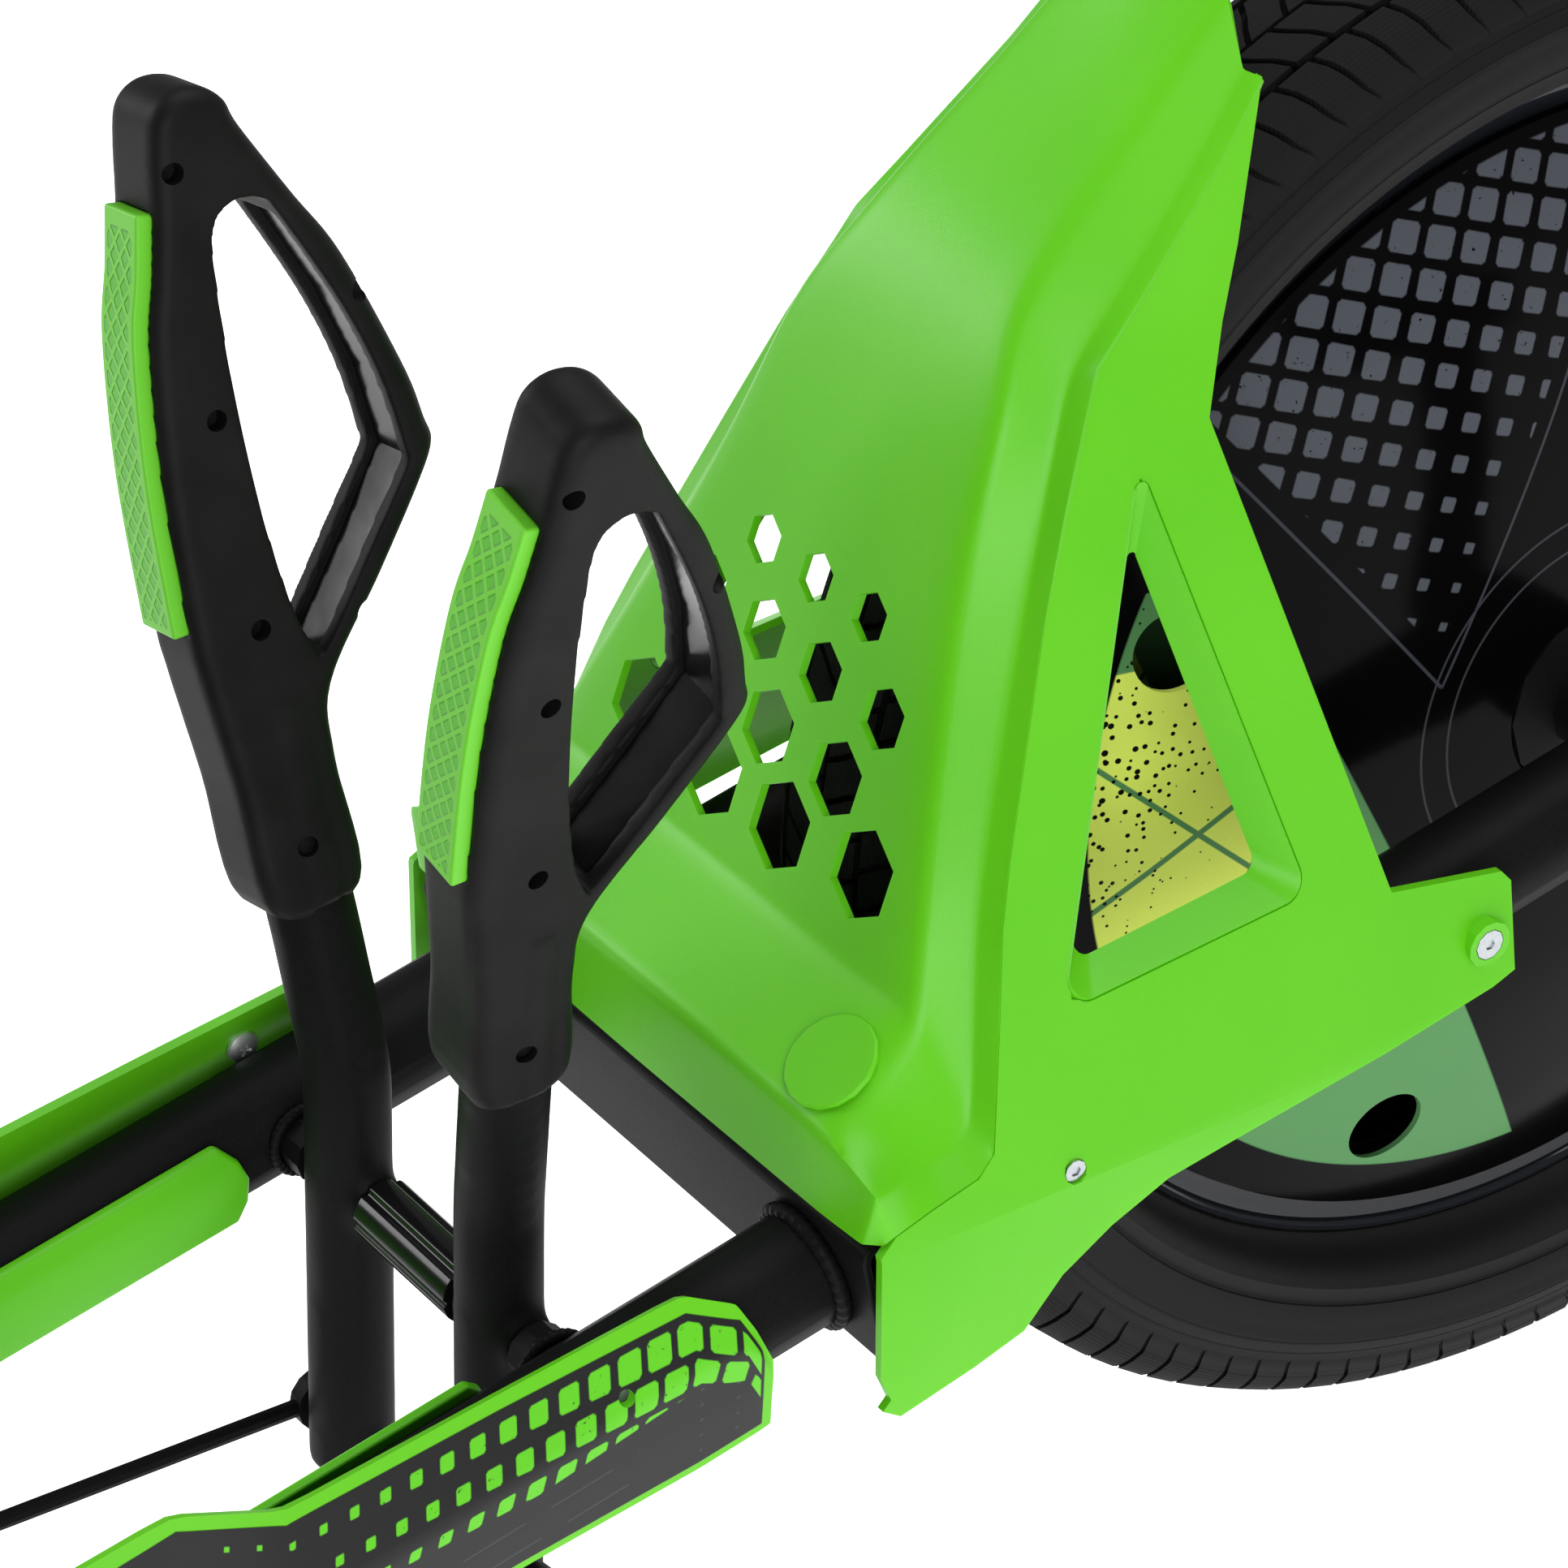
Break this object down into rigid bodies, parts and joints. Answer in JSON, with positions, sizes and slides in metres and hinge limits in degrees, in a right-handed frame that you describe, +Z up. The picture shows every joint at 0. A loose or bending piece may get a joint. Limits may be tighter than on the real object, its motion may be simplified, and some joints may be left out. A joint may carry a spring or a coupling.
{
  "type": "drift trike",
  "caption": "Pedal drift trike with a large driven front wheel under a moulded cowl, two steering levers, a sliding bucket seat and a swivelling rear truck.",
  "frame": {"origin": "on the ground under the middle of the trike's length and width", "axes": "+X forward, +Y to the rider's left, +Z up"},
  "size_m": [1.2393, 0.71, 0.575],
  "materials": {
    "green_plastic": "satin",
    "satin_black": "satin",
    "gloss_black": "gloss",
    "grip_rubber": "matte",
    "tyre_rubber": "matte",
    "zinc": "zinc plated",
    "seat_plastic": "matte"
  },
  "bodies": {
    "frame": {"left_rail": "satin_black", "right_rail": "satin_black", "left_fork_tube": "satin_black", "right_fork_tube": "satin_black", "left_axle_housing": "satin_black", "right_axle_housing": "satin_black", "left_axle_bearing": "zinc", "right_axle_bearing": "zinc", "cross_box": "satin_black", "pivot_axle": "zinc", "pivot_spacer": "gloss_black", "centre_cowl": "green_plastic", "left_cowl_cap": "green_plastic", "right_cowl_cap": "green_plastic", "left_side_panel": "green_plastic", "right_side_panel": "green_plastic", "left_side_screw": "zinc", "right_side_screw": "zinc", "left_arm_screw": "zinc", "right_arm_screw": "zinc", "left_outer_cover": "green_plastic", "right_outer_cover": "green_plastic", "left_cover_panel": "satin_black", "right_cover_panel": "satin_black", "left_inner_cover": "green_plastic", "right_inner_cover": "green_plastic", "mount_plate": "satin_black", "kingpin": "zinc", "seat_track": "satin_black"},
    "left_lever": {"left_lever_tube": "satin_black", "left_grip": "grip_rubber", "left_grip_insert": "green_plastic", "left_grip_loop": "gloss_black"},
    "right_lever": {"right_lever_tube": "satin_black", "right_grip": "grip_rubber", "right_grip_insert": "green_plastic", "right_grip_loop": "gloss_black"},
    "left_rod": {"left_steering_rod": "satin_black"},
    "right_rod": {"right_steering_rod": "satin_black"},
    "truck": {"truck_plate": "satin_black", "axle_tube": "satin_black", "rear_axle": "zinc"},
    "left_rear_wheel": {"left_rear_tyre": "tyre_rubber", "left_rear_hub": "satin_black"},
    "right_rear_wheel": {"right_rear_tyre": "tyre_rubber", "right_rear_hub": "satin_black"},
    "front_wheel": {"front_tyre": "tyre_rubber", "front_rim": "gloss_black", "left_wheel_cover": "gloss_black", "right_wheel_cover": "gloss_black", "front_hub": "satin_black", "spindle": "zinc", "left_crank": "satin_black", "right_crank": "satin_black"},
    "left_pedal_body": {"left_pedal": "grip_rubber"},
    "right_pedal_body": {"right_pedal": "grip_rubber"},
    "seat": {"seat_slider": "satin_black", "seat_shell": "seat_plastic"},
    "knob": {"seat_knob": "grip_rubber"}
  },
  "joints": [
    {"name": "truck_steer", "type": "hinge", "parent": "frame", "child": "truck", "pos_m": [-0.47586, 0, 0.12627], "axis": [0, 0, 1], "range_deg": [-25, 25]},
    {"name": "left_lever_swing", "type": "hinge", "parent": "frame", "child": "left_lever", "pos_m": [-0.07846, 0.0435, 0.20535], "axis": [0, 1, 0], "range_deg": [-21.5, 21.5]},
    {"name": "right_lever_swing", "type": "hinge", "parent": "frame", "child": "right_lever", "pos_m": [-0.07846, -0.0435, 0.20535], "axis": [0, 1, 0], "range_deg": [-21.5, 21.5]},
    {"name": "left_rod_pivot", "type": "hinge", "parent": "left_lever", "child": "left_rod", "pos_m": [-0.08307, 0.061, 0.11135], "axis": [0, 1, 0], "range_deg": [-21.5, 21.5]},
    {"name": "right_rod_pivot", "type": "hinge", "parent": "right_lever", "child": "right_rod", "pos_m": [-0.08307, -0.061, 0.11135], "axis": [0, 1, 0], "range_deg": [-21.5, 21.5]},
    {"name": "front_wheel_spin", "type": "hinge", "parent": "frame", "child": "front_wheel", "pos_m": [0.34414, 0, 0.277], "axis": [0, 1, 0], "continuous": true},
    {"name": "left_pedal_spin", "type": "hinge", "parent": "front_wheel", "child": "left_pedal_body", "pos_m": [0.34414, 0.195, 0.15], "axis": [0, 1, 0], "continuous": true},
    {"name": "right_pedal_spin", "type": "hinge", "parent": "front_wheel", "child": "right_pedal_body", "pos_m": [0.34414, -0.195, 0.404], "axis": [0, 1, 0], "continuous": true},
    {"name": "left_rear_wheel_spin", "type": "hinge", "parent": "truck", "child": "left_rear_wheel", "pos_m": [-0.50587, 0.3, 0.11527], "axis": [0, 1, 0], "continuous": true},
    {"name": "right_rear_wheel_spin", "type": "hinge", "parent": "truck", "child": "right_rear_wheel", "pos_m": [-0.50587, -0.3, 0.11527], "axis": [0, 1, 0], "continuous": true},
    {"name": "seat_slide", "type": "slide", "parent": "frame", "child": "seat", "axis": [1, 0, 0], "range_m": [0, 0.1]},
    {"name": "seat_knob_turn", "type": "hinge", "parent": "seat", "child": "knob", "pos_m": [-0.44087, 0.032, 0.20537], "axis": [0, 1, 0], "range_deg": [0, 180]}
  ],
  "couplings": [
    {"joint": "left_lever_swing", "follows": "truck_steer", "ratio": 0.8511},
    {"joint": "right_lever_swing", "follows": "truck_steer", "ratio": -0.8511},
    {"joint": "left_rod_pivot", "follows": "truck_steer", "ratio": -0.8511},
    {"joint": "right_rod_pivot", "follows": "truck_steer", "ratio": 0.8511}
  ]
}
